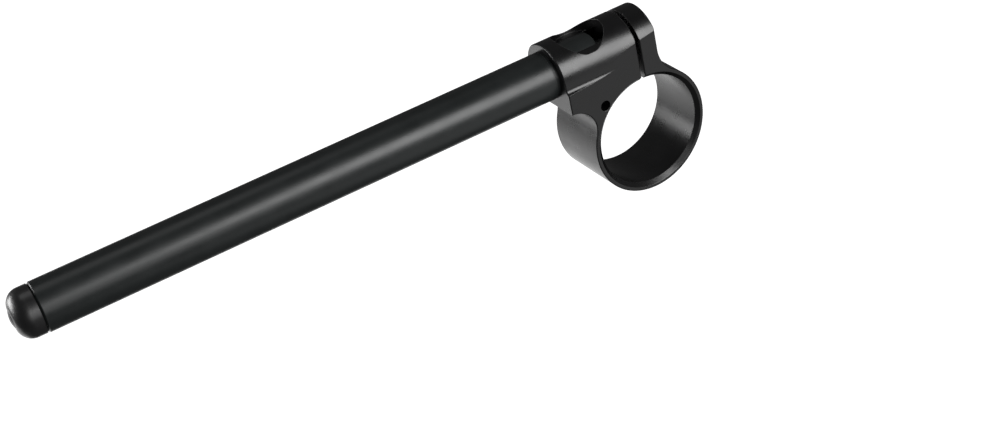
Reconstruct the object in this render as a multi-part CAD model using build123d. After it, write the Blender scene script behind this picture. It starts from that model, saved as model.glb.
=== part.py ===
from build123d import *
from math import asin, atan2, cos, degrees, radians, sin, sqrt, tan
import os

# Clip-on handlebar for one side of a motorcycle, in millimetres.
# The origin is the centre of the fork clamp, +Z runs up the fork leg, and the bar points out along +X,
# beside the fork on its -Y side, drooping a little towards its outer end.
# One billet clamp holds the fork leg and the bar, a cap screw on the bar's own axis pinches the clamp,
# and a round plug closes the bar.

# Fork clamp
fork_bore_diameter = 52.0
ring_wall = 3.6
clamp_height = 32.5
rim_chamfer_width = 1.9
rim_chamfer_depth = 1.8
edge_break = 0.4

# Boss that carries the bar
bar_diameter = 22.2
bar_wall = 3.1
bar_gap = 3.5
bar_axis_rise = 2.2
bar_droop_degrees = 3.4
boss_wall = 3.7
boss_shoulder = 4.6
shoulder_fillet = 2.5
block_wall = 3.4
block_fillet = 11.4
block_runout = 0.5

# Pinch ear and slit
slit_width = 2.0
ear_thickness = 8.6
ear_fillet = 15.0

# Round window cut through the boss wall, beside the inner end of the bar
window_diameter = 23.4
window_centre = 19.9
window_rise = 0.6
window_floor_gap = 2.7

# Pinch bolt, an M6 socket head cap screw
bolt_diameter = 6.0
bolt_length = 19.4
bolt_hole_clearance = 0.3
thread_clearance = 0.05
bolt_head_diameter = 10.0
bolt_head_height = 6.0
bolt_edge_break = 0.5
hex_across_flats = 5.0
hex_depth = 3.0

# Index hole beside the fork bore
index_hole_diameter = 5.0
index_hole_gap = 5.0
index_hole_degrees = -48.0

# Bar and end cap
bar_inner_gap = 5.8
seat_step = 0.2
seat_overhang = 0.3
bar_length = 262.2
bar_bevel = 0.9
socket_clearance = 0.02
cap_reach = 11.6
cap_step = 0.2
cap_corner_radius = 6.8
cap_crown = 0.8
cap_seam = 0.2
stem_length = 22.0
stem_wall_gap = 0.8
rib_count = 4
rib_width = 1.6
rib_clearance = 0.03

bore_radius = fork_bore_diameter / 2
ring_radius = bore_radius + ring_wall
bar_radius = bar_diameter / 2
bar_bore_radius = bar_radius - bar_wall
bar_offset = bore_radius + bar_gap + bar_radius
boss_radius = bar_radius + boss_wall
half_height = clamp_height / 2
window_radius = window_diameter / 2
socket_floor = window_centre - window_radius
bar_inner_end = socket_floor + bar_inner_gap
bar_outer_end = bar_inner_end + bar_length
ear_side = -(slit_width + ear_thickness)
droop = radians(bar_droop_degrees)

# The concave fillet from the ring down to the block's thinnest wall, and the boss's end just before it
block_side = -(bar_offset - bar_radius - block_wall)
block_fillet_y = block_side + block_fillet
block_fillet_x = sqrt((ring_radius + block_fillet) ** 2 - block_fillet_y**2)
boss_reach = block_fillet_x - block_runout
far_side = -(bar_offset + 2 * boss_radius)

# The bar's inner end is turned down a little, to a shoulder just clear of the boss's end
seat_radius = bar_radius - seat_step
seat_end = (boss_reach + bar_radius * sin(droop) + seat_overhang) / cos(droop)

# The bar's own axis: local +Z runs outwards along the bar, local +X points away from the fork
# and local +Y points down.
bar_axis = Plane(
    origin=(0, -bar_offset, bar_axis_rise),
    x_dir=(0, -1, 0),
    z_dir=(cos(droop), 0, -sin(droop)),
)


def rod(radius, start, end):
    """A plain cylinder on the bar's axis, from one distance along it to another."""
    return extrude(bar_axis.offset(start) * Circle(radius), end - start)


def turned(points_and_arcs):
    """A body turned on the bar's axis from a closed half profile of edges (radius, distance)."""
    profile = make_face(Wire(points_and_arcs))
    half_plane = Plane(origin=bar_axis.origin, x_dir=bar_axis.x_dir, z_dir=-bar_axis.y_dir)
    return revolve(half_plane * profile, Axis(bar_axis.origin, bar_axis.z_dir), 360)


def clamp_plan():
    """The clamp seen from above: ring, flared ear and filleted block, with the bore and the slit open."""
    ear_x = ear_side - ear_fillet
    ear_y = -sqrt((ring_radius + ear_fillet) ** 2 - ear_x**2)
    ear_touch = Vector(ear_x, ear_y) * (ring_radius / (ring_radius + ear_fillet))
    ear_turn = degrees(atan2(-ear_y, -ear_x))

    block_touch = Vector(block_fillet_x, block_fillet_y) * (ring_radius / (ring_radius + block_fillet))
    block_turn = degrees(atan2(-block_fillet_y, -block_fillet_x))
    block_arc = 270 - degrees(asin(block_runout / block_fillet)) - block_turn
    block_corner = (boss_reach, block_fillet_y - sqrt(block_fillet**2 - block_runout**2))

    outline = [
        CenterArc((ear_x, ear_y), ear_fillet, 0, ear_turn),
        Line((ear_side, ear_y), (ear_side, far_side)),
        Line((ear_side, far_side), (boss_reach, far_side)),
        Line((boss_reach, far_side), block_corner),
        CenterArc((block_fillet_x, block_fillet_y), block_fillet, block_turn, block_arc),
        Line(block_touch, (0, 0)),
        Line((0, 0), ear_touch),
    ]
    slit = Pos(-slit_width / 2, far_side) * Rectangle(slit_width, -2 * far_side)
    return make_face(Wire(outline)) + Circle(ring_radius) - Circle(bore_radius) - slit


def boss_envelope():
    """All that the clamp may fill, seen along the bar: the round boss, and the block behind it."""
    centre_x = -boss_shoulder + shoulder_fillet
    centre_y = sqrt((boss_radius + shoulder_fillet) ** 2 - centre_x**2)
    top = 2 * clamp_height
    back = -2 * (bar_offset + ring_radius)
    start = degrees(atan2(centre_y, centre_x))

    upper_fillet = CenterArc((centre_x, centre_y), shoulder_fillet, 180, start)
    lower_fillet = CenterArc((centre_x, -centre_y), shoulder_fillet, 180 - start, start)
    round_side = CenterArc((0, 0), boss_radius, -start, 2 * start)
    outline = [
        round_side,
        upper_fillet,
        Line((-boss_shoulder, centre_y), (-boss_shoulder, top)),
        Line((-boss_shoulder, top), (back, top)),
        Line((back, top), (back, -top)),
        Line((back, -top), (-boss_shoulder, -top)),
        Line((-boss_shoulder, -top), (-boss_shoulder, -centre_y)),
        lower_fillet,
    ]
    reach = 2 * (ring_radius + boss_reach)
    section = bar_axis.offset(-reach) * make_face(Wire(outline))
    return extrude(section, 2 * reach)


def clamp_body():
    """The billet clamp: ring, block, boss and ear in one piece."""
    body = extrude(Plane.XY.offset(-half_height) * clamp_plan(), clamp_height)
    rims = body.edges().group_by(Axis.Z)
    body = chamfer(rims[0] + rims[-1], edge_break)
    body &= boss_envelope()

    boss_end = body.faces().sort_by(Axis.X)[-1]
    body = chamfer(boss_end.edges().filter_by(GeomType.LINE, reverse=True), edge_break)

    mouth = Cone(
        bore_radius, bore_radius + rim_chamfer_width, rim_chamfer_depth,
        align=(Align.CENTER, Align.CENTER, Align.MAX),
    )
    body -= Pos(0, 0, half_height) * mouth
    body -= Pos(0, 0, -half_height) * Rot(180, 0, 0) * mouth

    body -= rod(seat_radius + socket_clearance, socket_floor, 2 * boss_reach)

    window_height = bar_axis_rise - window_centre * tan(droop) + window_rise
    window_floor = bar_offset + bar_radius - window_floor_gap
    window_plane = Plane(origin=(window_centre, -window_floor, window_height), z_dir=(0, -1, 0))
    body -= extrude(window_plane * Circle(window_radius), 2 * boss_radius)

    body -= rod(bolt_diameter / 2 + bolt_hole_clearance, -slit_width, socket_floor)
    body -= rod(bolt_diameter / 2 + thread_clearance, 2 * ear_side, -slit_width)

    turn = radians(index_hole_degrees)
    hole_radius = bore_radius + index_hole_gap
    hole_centre = Pos(hole_radius * cos(turn), hole_radius * sin(turn), 0)
    return body - hole_centre * Cylinder(index_hole_diameter / 2, 2 * clamp_height)


def bar_tube():
    """The bar: a tube with bevelled outer corners, turned down where it seats in the boss."""
    tube = rod(seat_radius, bar_inner_end, seat_end) + rod(bar_radius, seat_end, bar_outer_end)
    ends = tube.edges().filter_by(GeomType.CIRCLE).sort_by(Axis.X)
    tube = chamfer([ends[0], ends[-1]], bar_bevel)
    return tube - rod(bar_bore_radius, 0, 2 * bar_outer_end)


def end_cap():
    """The bar's end plug: a short round head and a ribbed stem pushed into the tube."""
    head_radius = bar_radius - cap_step
    base = bar_outer_end + cap_seam
    tip = bar_outer_end + cap_reach
    flat = head_radius - cap_corner_radius
    crown_radius = (flat**2 + cap_crown**2) / (2 * cap_crown)
    crown_centre = tip - crown_radius
    half_turn = atan2(flat, crown_radius - cap_crown) / 2
    shoulder = tip - cap_crown - cap_corner_radius
    corner_middle = (
        flat + cap_corner_radius * cos(radians(45)),
        shoulder + cap_corner_radius * sin(radians(45)),
    )
    crown_middle = (crown_radius * sin(half_turn), crown_centre + crown_radius * cos(half_turn))
    profile = [
        Line((0, base), (head_radius, base)),
        Line((head_radius, base), (head_radius, shoulder)),
        ThreePointArc((head_radius, shoulder), corner_middle, (flat, tip - cap_crown)),
        ThreePointArc((flat, tip - cap_crown), crown_middle, (0, tip)),
        Line((0, tip), (0, base)),
    ]
    cap = turned(profile) + rod(bar_bore_radius - stem_wall_gap, bar_outer_end - stem_length, base)
    pitch = stem_length / rib_count
    for number in range(rib_count):
        start = bar_outer_end - stem_length + number * pitch
        cap += rod(bar_bore_radius - rib_clearance, start, start + rib_width)
    return cap


def pinch_bolt():
    """A socket head cap screw: its head in the boss's socket, its shank across the slit into the ear."""
    head = rod(bolt_head_diameter / 2, socket_floor, socket_floor + bolt_head_height)
    top_rim = head.edges().filter_by(GeomType.CIRCLE).sort_by(Axis.X)[-1]
    head = chamfer(top_rim, bolt_edge_break)
    hexagon = RegularPolygon(hex_across_flats / 2, 6, major_radius=False)
    head_top = socket_floor + bolt_head_height
    head -= extrude(bar_axis.offset(head_top - hex_depth) * hexagon, 2 * hex_depth)
    shank = rod(bolt_diameter / 2, socket_floor - bolt_length, socket_floor)
    tip = shank.edges().filter_by(GeomType.CIRCLE).sort_by(Axis.X)[0]
    return head + chamfer(tip, bolt_edge_break)


nodes = {
    "clamp_body": clamp_body,
    "bar_tube": bar_tube,
    "end_cap": end_cap,
    "pinch_bolt": pinch_bolt,
}

os.makedirs("parts", exist_ok=True)
for name, build in nodes.items():
    export_step(build(), f"parts/{name}.step")
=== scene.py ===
import bpy
from math import pi, radians
from mathutils import Matrix, Vector

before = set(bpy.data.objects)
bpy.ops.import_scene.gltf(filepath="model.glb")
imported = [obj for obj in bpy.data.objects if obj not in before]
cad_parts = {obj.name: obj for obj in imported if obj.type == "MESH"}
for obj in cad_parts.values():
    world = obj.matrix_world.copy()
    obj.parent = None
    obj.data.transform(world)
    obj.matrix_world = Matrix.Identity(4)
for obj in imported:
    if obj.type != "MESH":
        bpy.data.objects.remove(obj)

bl_info = {
    "name": "Clip-on handlebar",
    "version": (1, 0, 0),
    "blender": (4, 5, 0),
    "location": "View3D > Sidebar > Clip-on",
    "description": "Dresses the clip-on handlebar's CAD pieces and sets up its picture",
    "category": "Object",
}

MM = 0.001

# Real sizes behind the patterns, in millimetres
DYE_MOTTLE_MM = 9.0
BROKEN_EDGE_MM = 0.35
HANDLING_HAZE_MM = 6.0
ORANGE_PEEL_MM = 1.6
PLATING_CLOUD_MM = 1.8

# Turning leaves marks about 0.1 mm apart, drawn three times as coarse here, to leave a trace
TURNING_MARK_MM = 0.3

# A wave texture of scale 1 repeats after this length
WAVE_REPEAT = pi / 10

# A painted edge highlight, paler than the dye, starts where an edge's rounded normal leaves the
# face's, and is full further round. Both are cosines of the angle between the two normals.
EDGE_HIGHLIGHT_STARTS = 0.995
EDGE_HIGHLIGHT_FULL = 0.90

# The sweep's place, turn and size, in metres. It fills the camera's view and little more, so that
# the bar's edges mirror the dark room.
SWEEP_CENTRE = (-0.45, 0.935)
SWEEP_TURN_DEGREES = -24.1
SWEEP_SIZE = (1.90, 1.04)

# How bright the sweep looks unlit. The lamps light it the rest of the way to white.
SWEEP_LIFT = 0.94

# The soft boxes: name, place, the point it faces, width and height, and the setting that holds its
# brightness. The black finish shows mostly what it mirrors, so each box stands where one of the
# part's highlights is mirrored from.
CLAMP_MIDDLE = (0.0, -0.02, 0.0)
PART_MIDDLE = (0.14, -0.04, 0.0)
BAR_END = (0.28, -0.04, 0.0)
SOFT_BOXES = (
    ("top_box", (-0.22, -0.425, 0.80), PART_MIDDLE, (0.62, 0.54), "top_radiance"),
    ("end_box", (0.28, -0.24, 0.80), BAR_END, (0.36, 0.58), "end_radiance"),
    ("fill_box", (-0.55, 0.65, 0.90), PART_MIDDLE, (1.3, 1.1), "fill_radiance"),
    ("side_box", (0.45, 0.32, -0.45), CLAMP_MIDDLE, (0.34, 0.60), "side_radiance"),
    ("rim_box", (0.64, -0.105, -0.40), BAR_END, (0.24, 0.34), "rim_radiance"),
    ("front_card", (0.15, -1.40, -0.35), PART_MIDDLE, (0.7, 0.6), "front_radiance"),
)

# The camera, from a fit to the photograph: its place, the directions that the picture's right,
# down and depth take, and its focal length and the picture's width in pixels
CAMERA_PLACE = (0.3738843, -0.4410176, 0.6291642)
CAMERA_RIGHT = (-0.8261312, 0.1905301, 0.5302881)
CAMERA_DOWN = (0.4334821, 0.8161559, 0.3820770)
CAMERA_AHEAD = (-0.3600006, 0.5455161, -0.7568432)
FOCAL_PIXELS = 1866.26
PICTURE_WIDTH_PIXELS = 1000
SENSOR_MM = 36.0

# The camera sees nothing nearer than this, in metres
NEAREST_SEEN = 0.01


def srgb(code):
    """A colour given as a six-digit sRGB code, as the linear colour that Blender's sockets hold."""
    channels = [int(code[i:i + 2], 16) / 255 for i in (0, 2, 4)]
    linear = [c / 12.92 if c <= 0.04045 else ((c + 0.055) / 1.055) ** 2.4 for c in channels]
    return (*linear, 1.0)


def colour_setting(name, description, code):
    """A colour that a user can change, with its default as an sRGB code."""
    return bpy.props.FloatVectorProperty(
        name=name, description=description, default=srgb(code),
        size=4, min=0.0, max=1.0, subtype="COLOR",
    )


def radiance_setting(name, description, default):
    """The brightness of a lamp, on a scale where 1 is a white surface."""
    return bpy.props.FloatProperty(
        name=name, description=f"Brightness of {description}, where 1 is a white surface",
        default=default, min=0.0, max=20.0,
    )


class ClipOnSettings(bpy.types.PropertyGroup):
    """The colours, sizes and lights that a user can change."""
    clamp_pale: colour_setting("Clamp dye, pale", "The clamp's black where it is palest", "0F0F10")
    clamp_dark: colour_setting("Clamp dye, dark", "The clamp's black where it is darkest", "0A0A0B")
    # Painted highlight: the clamp's edges take this paler colour along every edge.
    clamp_edge_highlight: colour_setting("Clamp edge", "The clamp's edges where they are highlighted", "454546")
    bar_pale: colour_setting("Bar dye, pale", "The bar's black where it is palest", "212525")
    bar_dark: colour_setting("Bar dye, dark", "The bar's black where it is darkest", "1B1F1F")
    # Painted highlight: the bar's edges take this paler colour along every edge.
    bar_edge_highlight: colour_setting("Bar edge", "The bar's edges where they are highlighted", "404343")
    cap_pale: colour_setting("Cap, hazy", "The cap's plastic where handling has hazed it", "171718")
    cap_dark: colour_setting("Cap, clean", "The cap's plastic where it is clean", "111112")
    plate_pale: colour_setting("Zinc, bright", "The bolt's plating where it is brightest", "C4C5C6")
    plate_dark: colour_setting("Zinc, clouded", "The bolt's plating where it has clouded", "9A9B9C")

    # Blasting pits aluminium about 0.1 mm wide. The picture has only 2 pixels to the millimetre,
    # so both grains are drawn two to three times as coarse, to leave a trace.
    clamp_grain_mm: bpy.props.FloatProperty(
        name="Clamp grain",
        description="Width of the fine pitting in the clamp's black anodised face, in millimetres",
        default=0.22, min=0.05, max=1.0,
    )
    bar_grain_mm: bpy.props.FloatProperty(
        name="Bar grain",
        description="Width of the fine pitting in the bar's satin surface, in millimetres",
        default=0.35, min=0.05, max=2.0,
    )
    clamp_roughness: bpy.props.FloatProperty(
        name="Clamp roughness",
        description="How widely the clamp's satin surface spreads a highlight",
        default=0.28, min=0.0, max=1.0, subtype="FACTOR",
    )
    bar_roughness: bpy.props.FloatProperty(
        name="Bar roughness",
        description="How widely the bar's satin surface spreads a highlight",
        default=0.36, min=0.0, max=1.0, subtype="FACTOR",
    )

    top_radiance: radiance_setting("Top box", "the soft box above the part", 5.8)
    end_radiance: radiance_setting("End box", "the dimmer box over the bar's outer end", 1.2)
    fill_radiance: radiance_setting("Fill box", "the broad panel behind the part", 0.42)
    side_radiance: radiance_setting("Side box", "the low panel on the part's outer side", 1.0)
    rim_radiance: radiance_setting("Rim box", "the low box beyond the bar's end", 8.0)
    front_radiance: radiance_setting("Front card", "the low card before the part", 0.8)
    room_radiance: radiance_setting("Room", "the dark room around the part", 0.07)
    sweep_depth: bpy.props.FloatProperty(
        name="Sweep depth",
        description="How far below the part's origin the white sweep lies",
        default=0.80, min=0.05, max=3.0, unit="LENGTH", subtype="DISTANCE",
    )


def add_node(material, kind, settings=None, links=None):
    """Adds a node. Settings are its properties and input values and links feed its inputs, each
    under the property's name or the input's name or number.
    """
    tree = material.node_tree
    node = tree.nodes.new(kind)
    for name, value in (settings or {}).items():
        if isinstance(name, int) or name in node.inputs:
            node.inputs[name].default_value = value
        else:
            setattr(node, name, value)
    for name, source in (links or {}).items():
        tree.links.new(source, node.inputs[name])
    return node


def new_material(name):
    """An empty node material with its output, and its Object coordinates in millimetres."""
    material = bpy.data.materials.new(name)
    material.use_nodes = True
    material.node_tree.nodes.clear()
    output = add_node(material, "ShaderNodeOutputMaterial")
    coordinates = add_node(material, "ShaderNodeTexCoord")
    in_mm = add_node(
        material, "ShaderNodeVectorMath", {"operation": "SCALE", "Scale": 1 / MM},
        {"Vector": coordinates.outputs["Object"]},
    )
    return material, output, in_mm.outputs["Vector"]


def ramp(material, source, stops):
    """A colour ramp over a 0 to 1 value, from its two (position, colour) stops."""
    node = add_node(material, "ShaderNodeValToRGB", links={"Fac": source})
    for element, (position, colour) in zip(node.color_ramp.elements, stops):
        element.position = position
        element.color = colour
    return node.outputs["Color"]


def broken_edges(material):
    """The normal with every edge a little rounded, and a mask along those edges for the painted
    highlight.
    """
    rounded = add_node(
        material, "ShaderNodeBevel", {"Radius": BROKEN_EDGE_MM * MM, "samples": 8},
    )
    face = add_node(material, "ShaderNodeNewGeometry")
    agreement = add_node(
        material, "ShaderNodeVectorMath", {"operation": "DOT_PRODUCT"},
        {0: rounded.outputs["Normal"], 1: face.outputs["Normal"]},
    )
    mask = add_node(
        material, "ShaderNodeMapRange",
        {
            "From Min": EDGE_HIGHLIGHT_STARTS, "From Max": EDGE_HIGHLIGHT_FULL,
            "To Min": 0.0, "To Max": 1.0, "clamp": True,
        },
        {"Value": agreement.outputs["Value"]},
    )
    return rounded.outputs["Normal"], mask.outputs["Result"]


def anodised(name, pale, dark, edge_highlight, roughness, specular, grain_mm, bump_mm):
    """Aluminium, blasted and black anodised.

    The dyed oxide hides the metal, so the eye gets a dark surface with a broad satin highlight and
    no metal colour: the dye is faintly mottled and the face finely pitted. Every edge is painted a
    little paler, a painted highlight standing in for the glint of its small rounding.
    """
    material, output, place = new_material(name)
    mottle = add_node(
        material, "ShaderNodeTexNoise",
        {"Scale": 1 / DYE_MOTTLE_MM, "Detail": 4.0, "Roughness": 0.55},
        {"Vector": place},
    )
    grain = add_node(
        material, "ShaderNodeTexNoise", {"Scale": 1 / grain_mm, "Detail": 3.0, "Roughness": 0.6},
        {"Vector": place},
    )
    dye = ramp(material, mottle.outputs["Fac"], [(0.3, dark), (0.72, pale)])
    # Painted highlight: every edge is mixed towards the paler edge colour, besides its rounded
    # normal.
    rounded, edge = broken_edges(material)
    colour = add_node(
        material, "ShaderNodeMix", {"data_type": "RGBA", 7: edge_highlight}, {"Factor": edge, 6: dye},
    )
    spread = add_node(
        material, "ShaderNodeMapRange",
        {"From Min": 0.3, "From Max": 0.7, "To Min": roughness - 0.03, "To Max": roughness + 0.04},
        {"Value": mottle.outputs["Fac"]},
    )
    pits = add_node(
        material, "ShaderNodeBump", {"Strength": 0.35, "Distance": bump_mm * MM},
        {"Height": grain.outputs["Fac"], "Normal": rounded},
    )
    surface = add_node(
        material, "ShaderNodeBsdfPrincipled",
        {"Metallic": 0.0, "Specular IOR Level": specular, "Coat Weight": 0.0},
        {
            "Base Color": colour.outputs[2], "Roughness": spread.outputs["Result"],
            "Normal": pits.outputs["Normal"],
        },
    )
    material.node_tree.links.new(surface.outputs["BSDF"], output.inputs["Surface"])
    return material


def moulded_plastic(name, pale, dark):
    """Black moulded plastic, semi-gloss.

    It mirrors the lamps more sharply than the anodised pieces do, with a trace of orange peel from
    the mould and a faint haze from handling.
    """
    material, output, place = new_material(name)
    haze = add_node(
        material, "ShaderNodeTexNoise",
        {"Scale": 1 / HANDLING_HAZE_MM, "Detail": 5.0, "Roughness": 0.6},
        {"Vector": place},
    )
    peel = add_node(
        material, "ShaderNodeTexNoise", {"Scale": 1 / ORANGE_PEEL_MM, "Detail": 1.0},
        {"Vector": place},
    )
    colour = ramp(material, haze.outputs["Fac"], [(0.35, dark), (0.7, pale)])
    spread = add_node(
        material, "ShaderNodeMapRange",
        {"From Min": 0.35, "From Max": 0.7, "To Min": 0.34, "To Max": 0.40},
        {"Value": haze.outputs["Fac"]},
    )
    bump = add_node(
        material, "ShaderNodeBump", {"Strength": 0.2, "Distance": 0.01 * MM},
        {"Height": peel.outputs["Fac"]},
    )
    surface = add_node(
        material, "ShaderNodeBsdfPrincipled",
        {"Specular IOR Level": 0.9, "Coat Weight": 0.15, "Coat Roughness": 0.2},
        {
            "Base Color": colour, "Roughness": spread.outputs["Result"],
            "Normal": bump.outputs["Normal"],
        },
    )
    material.node_tree.links.new(surface.outputs["BSDF"], output.inputs["Surface"])
    return material


def zinc_plate(name, pale, dark):
    """Zinc-plated steel: a bright grey metal, slightly clouded, with fine turning marks."""
    material, output, place = new_material(name)
    cloud = add_node(
        material, "ShaderNodeTexNoise", {"Scale": 1 / PLATING_CLOUD_MM, "Detail": 3.0},
        {"Vector": place},
    )
    colour = ramp(material, cloud.outputs["Fac"], [(0.3, dark), (0.7, pale)])
    spread = add_node(
        material, "ShaderNodeMapRange",
        {"From Min": 0.3, "From Max": 0.7, "To Min": 0.22, "To Max": 0.34},
        {"Value": cloud.outputs["Fac"]},
    )
    turning = add_node(
        material, "ShaderNodeTexWave",
        {
            "wave_type": "BANDS", "bands_direction": "X",
            "Scale": WAVE_REPEAT / TURNING_MARK_MM, "Distortion": 0.4,
        },
        {"Vector": place},
    )
    bump = add_node(
        material, "ShaderNodeBump", {"Strength": 0.3, "Distance": 0.02 * MM},
        {"Height": turning.outputs["Fac"]},
    )
    surface = add_node(
        material, "ShaderNodeBsdfPrincipled", {"Metallic": 1.0},
        {
            "Base Color": colour, "Roughness": spread.outputs["Result"],
            "Normal": bump.outputs["Normal"],
        },
    )
    material.node_tree.links.new(surface.outputs["BSDF"], output.inputs["Surface"])
    return material


def white_paper(name):
    """The studio's sweep: matt white paper that takes the part's shadow.

    It is lifted towards white for what looks at it or mirrors it, and lights nothing by that.
    """
    material, output, _ = new_material(name)
    paper = add_node(
        material, "ShaderNodeBsdfDiffuse", {"Color": srgb("F4F4F4"), "Roughness": 0.4},
    )
    ray = add_node(material, "ShaderNodeLightPath")
    mirrored = add_node(
        material, "ShaderNodeMath", {"operation": "MAXIMUM"},
        {0: ray.outputs["Is Glossy Ray"], 1: ray.outputs["Is Transmission Ray"]},
    )
    looked_at = add_node(
        material, "ShaderNodeMath", {"operation": "MAXIMUM"},
        {0: ray.outputs["Is Camera Ray"], 1: mirrored.outputs["Value"]},
    )
    lift = add_node(
        material, "ShaderNodeMath", {"operation": "MULTIPLY", 1: SWEEP_LIFT},
        {0: looked_at.outputs["Value"]},
    )
    glow = add_node(
        material, "ShaderNodeEmission", {"Color": srgb("FFFFFF")},
        {"Strength": lift.outputs["Value"]},
    )
    both = add_node(
        material, "ShaderNodeAddShader",
        links={0: paper.outputs["BSDF"], 1: glow.outputs["Emission"]},
    )
    material.node_tree.links.new(both.outputs["Shader"], output.inputs["Surface"])
    return material


def dress(node_name, material):
    """Gives a CAD piece its finish."""
    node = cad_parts[node_name]
    node.data.materials.clear()
    node.data.materials.append(material)


class CLIPON_OT_clamp(bpy.types.Operator):
    """Gives the clamp its black anodised finish."""
    bl_idname = "clipon.clamp"
    bl_label = "Clamp"

    def execute(self, context):
        settings = context.scene.clip_on
        dress("clamp_body", anodised(
            "black_anodised_satin_clamp",
            settings.clamp_pale, settings.clamp_dark, settings.clamp_edge_highlight,
            settings.clamp_roughness, specular=0.75,
            grain_mm=settings.clamp_grain_mm, bump_mm=0.02,
        ))
        return {"FINISHED"}


class CLIPON_OT_bar(bpy.types.Operator):
    """Gives the bar its satin black finish."""
    bl_idname = "clipon.bar"
    bl_label = "Bar"

    def execute(self, context):
        settings = context.scene.clip_on
        dress("bar_tube", anodised(
            "black_anodised_satin_bar",
            settings.bar_pale, settings.bar_dark, settings.bar_edge_highlight,
            settings.bar_roughness, specular=0.65,
            grain_mm=settings.bar_grain_mm, bump_mm=0.015,
        ))
        return {"FINISHED"}


class CLIPON_OT_cap(bpy.types.Operator):
    """Gives the end cap its black moulded plastic."""
    bl_idname = "clipon.cap"
    bl_label = "End cap"

    def execute(self, context):
        settings = context.scene.clip_on
        dress("end_cap", moulded_plastic(
            "black_moulded_plastic_semi_gloss", settings.cap_pale, settings.cap_dark,
        ))
        return {"FINISHED"}


class CLIPON_OT_bolt(bpy.types.Operator):
    """Gives the pinch bolt its zinc plate."""
    bl_idname = "clipon.bolt"
    bl_label = "Pinch bolt"

    def execute(self, context):
        settings = context.scene.clip_on
        dress("pinch_bolt", zinc_plate(
            "zinc_plated_steel", settings.plate_pale, settings.plate_dark,
        ))
        return {"FINISHED"}


def white_sweep(depth):
    """The pale floor under the part, facing up."""
    bpy.ops.mesh.primitive_plane_add(
        size=1.0, location=(*SWEEP_CENTRE, -depth),
        rotation=(0.0, 0.0, radians(SWEEP_TURN_DEGREES)),
    )
    floor = bpy.context.object
    floor.name = "white_sweep"
    floor.scale = (*SWEEP_SIZE, 1.0)
    floor.data.materials.append(white_paper("white_studio_paper"))


def soft_box(name, place, aim, size, radiance):
    """A rectangular studio lamp that looks from its place towards a point."""
    bpy.ops.object.light_add(type="AREA", location=place)
    lamp = bpy.context.object
    lamp.name = name
    lamp.rotation_euler = (Vector(aim) - Vector(place)).to_track_quat("-Z", "Y").to_euler()
    lamp.data.shape = "RECTANGLE"
    lamp.data.size, lamp.data.size_y = size
    lamp.data.energy = radiance * pi * size[0] * size[1]


def dark_room(scene, radiance):
    """The plain room that the black finish mirrors between the lamps."""
    world = bpy.data.worlds.new("studio")
    scene.world = world
    world.use_nodes = True
    room = world.node_tree.nodes["Background"]
    room.inputs["Color"].default_value = srgb("FFFFFF")
    room.inputs["Strength"].default_value = radiance


def photo_camera(scene):
    """The camera at the photograph's viewing angle."""
    lens = bpy.data.cameras.new("camera")
    camera = bpy.data.objects.new("camera", lens)
    scene.collection.objects.link(camera)
    axes = Vector(CAMERA_RIGHT), -Vector(CAMERA_DOWN), -Vector(CAMERA_AHEAD)
    turn = Matrix(axes).transposed().to_4x4()
    camera.matrix_world = Matrix.Translation(CAMERA_PLACE) @ turn
    lens.sensor_width = SENSOR_MM
    lens.lens = FOCAL_PIXELS * SENSOR_MM / PICTURE_WIDTH_PIXELS
    lens.clip_start = NEAREST_SEEN
    scene.camera = camera


class CLIPON_OT_stage(bpy.types.Operator):
    """Adds the white sweep, the lamps, the room and the camera."""
    bl_idname = "clipon.stage"
    bl_label = "Stage"

    def execute(self, context):
        settings = context.scene.clip_on
        white_sweep(settings.sweep_depth)
        for name, place, aim, size, brightness in SOFT_BOXES:
            soft_box(name, place, aim, size, getattr(settings, brightness))
        dark_room(context.scene, settings.room_radiance)
        photo_camera(context.scene)
        context.scene.view_settings.view_transform = "Standard"
        return {"FINISHED"}


class CLIPON_PT_panel(bpy.types.Panel):
    """Lists the settings and the operators."""
    bl_label = "Clip-on handlebar"
    bl_idname = "CLIPON_PT_panel"
    bl_space_type = "VIEW_3D"
    bl_region_type = "UI"
    bl_category = "Clip-on"

    def draw(self, context):
        layout = self.layout
        settings = context.scene.clip_on
        for name in ClipOnSettings.__annotations__:
            layout.prop(settings, name)
        for operator in OPERATORS:
            layout.operator(operator.bl_idname)


OPERATORS = (CLIPON_OT_clamp, CLIPON_OT_bar, CLIPON_OT_cap, CLIPON_OT_bolt, CLIPON_OT_stage)
CLASSES = (ClipOnSettings, *OPERATORS, CLIPON_PT_panel)


def register():
    for cls in CLASSES:
        bpy.utils.register_class(cls)
    bpy.types.Scene.clip_on = bpy.props.PointerProperty(type=ClipOnSettings)


def unregister():
    del bpy.types.Scene.clip_on
    for cls in reversed(CLASSES):
        bpy.utils.unregister_class(cls)


def main():
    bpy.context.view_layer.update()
    register()
    bpy.ops.clipon.clamp()
    bpy.ops.clipon.bar()
    bpy.ops.clipon.cap()
    bpy.ops.clipon.bolt()
    bpy.ops.clipon.stage()


if __name__ == "__main__":
    main()
